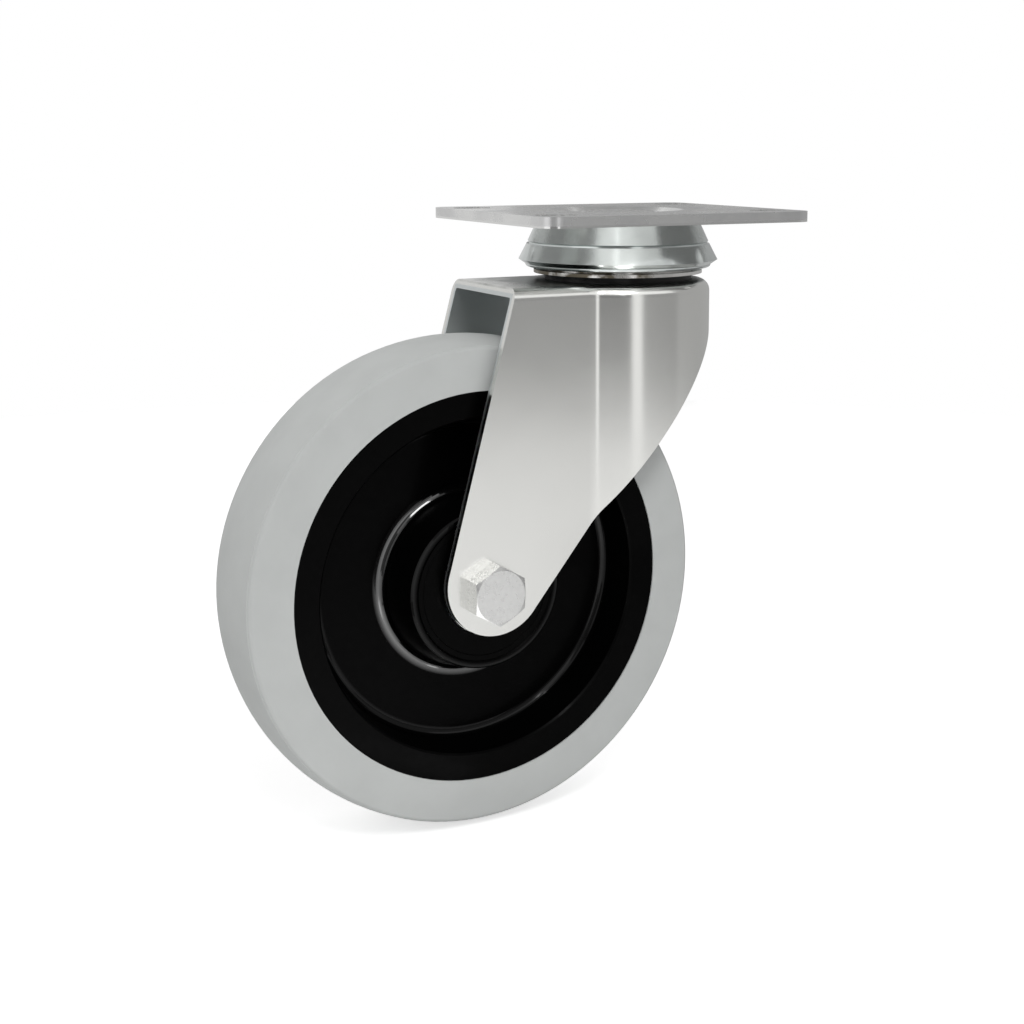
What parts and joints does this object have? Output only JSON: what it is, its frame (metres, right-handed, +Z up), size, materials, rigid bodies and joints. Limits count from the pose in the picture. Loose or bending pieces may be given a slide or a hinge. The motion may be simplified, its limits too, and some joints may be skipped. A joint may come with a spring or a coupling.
{
  "type": "swivel castor",
  "caption": "Heavy-duty swivel castor with a bolt-on steel plate, a pressed fork and a grey rubber tyre on a black nylon wheel core.",
  "frame": {"origin": "centre of the top plate's upper face, on the swivel axis", "axes": "+Z up out of the plate, +X towards the head side away from the trailing wheel, +Y along the axle"},
  "size_m": [0.189, 0.085, 0.199],
  "materials": {
    "zinc": "bright zinc plated, satin",
    "bearing_steel": "ground and polished",
    "black_nylon": "glossy black moulding",
    "grey_rubber": "matte light grey rubber",
    "cage_nylon": "matte amber",
    "white_nylon": "matte"
  },
  "bodies": {
    "top": {"top_plate": "zinc", "head_cover": "zinc", "upper_race": "bearing_steel", "king_bolt": "zinc", "king_washer": "zinc", "king_nut": "zinc", "lower_race": "zinc"},
    "upper_ball_row": {"upper_balls": "bearing_steel"},
    "lower_ball_row": {"lower_balls": "bearing_steel"},
    "fork": {"fork": "zinc", "fork_race": "zinc", "axle_bolt": "zinc", "axle_washer": "zinc", "axle_nut": "zinc", "nut_insert": "white_nylon", "axle_sleeve": "bearing_steel", "hub_washers": "zinc", "bearing_inner_rings": "bearing_steel", "bearing_spacer": "zinc"},
    "bearing_cage": {"bearing_balls": "bearing_steel", "bearing_cages": "cage_nylon"},
    "wheel": {"wheel_core": "black_nylon", "tyre": "grey_rubber", "bearing_outer_rings": "bearing_steel", "bearing_shields": "zinc", "hub_caps": "black_nylon"}
  },
  "joints": [
    {"name": "swivel", "type": "hinge", "parent": "top", "child": "fork", "pos_m": [0, 0, 0], "axis": [0, 0, 1], "continuous": true},
    {"name": "upper_row_turn", "type": "hinge", "parent": "top", "child": "upper_ball_row", "pos_m": [0, 0, 0], "axis": [0, 0, 1], "continuous": true},
    {"name": "lower_row_turn", "type": "hinge", "parent": "top", "child": "lower_ball_row", "pos_m": [0, 0, 0], "axis": [0, 0, 1], "continuous": true},
    {"name": "wheel_spin", "type": "hinge", "parent": "fork", "child": "wheel", "pos_m": [-0.059, 0, -0.119], "axis": [0, 1, 0], "continuous": true},
    {"name": "cage_turn", "type": "hinge", "parent": "fork", "child": "bearing_cage", "pos_m": [-0.059, 0, -0.119], "axis": [0, 1, 0], "continuous": true}
  ],
  "couplings": [
    {"joint": "upper_row_turn", "follows": "swivel", "ratio": 0.5},
    {"joint": "lower_row_turn", "follows": "swivel", "ratio": 0.5},
    {"joint": "cage_turn", "follows": "wheel_spin", "ratio": 0.6179}
  ]
}
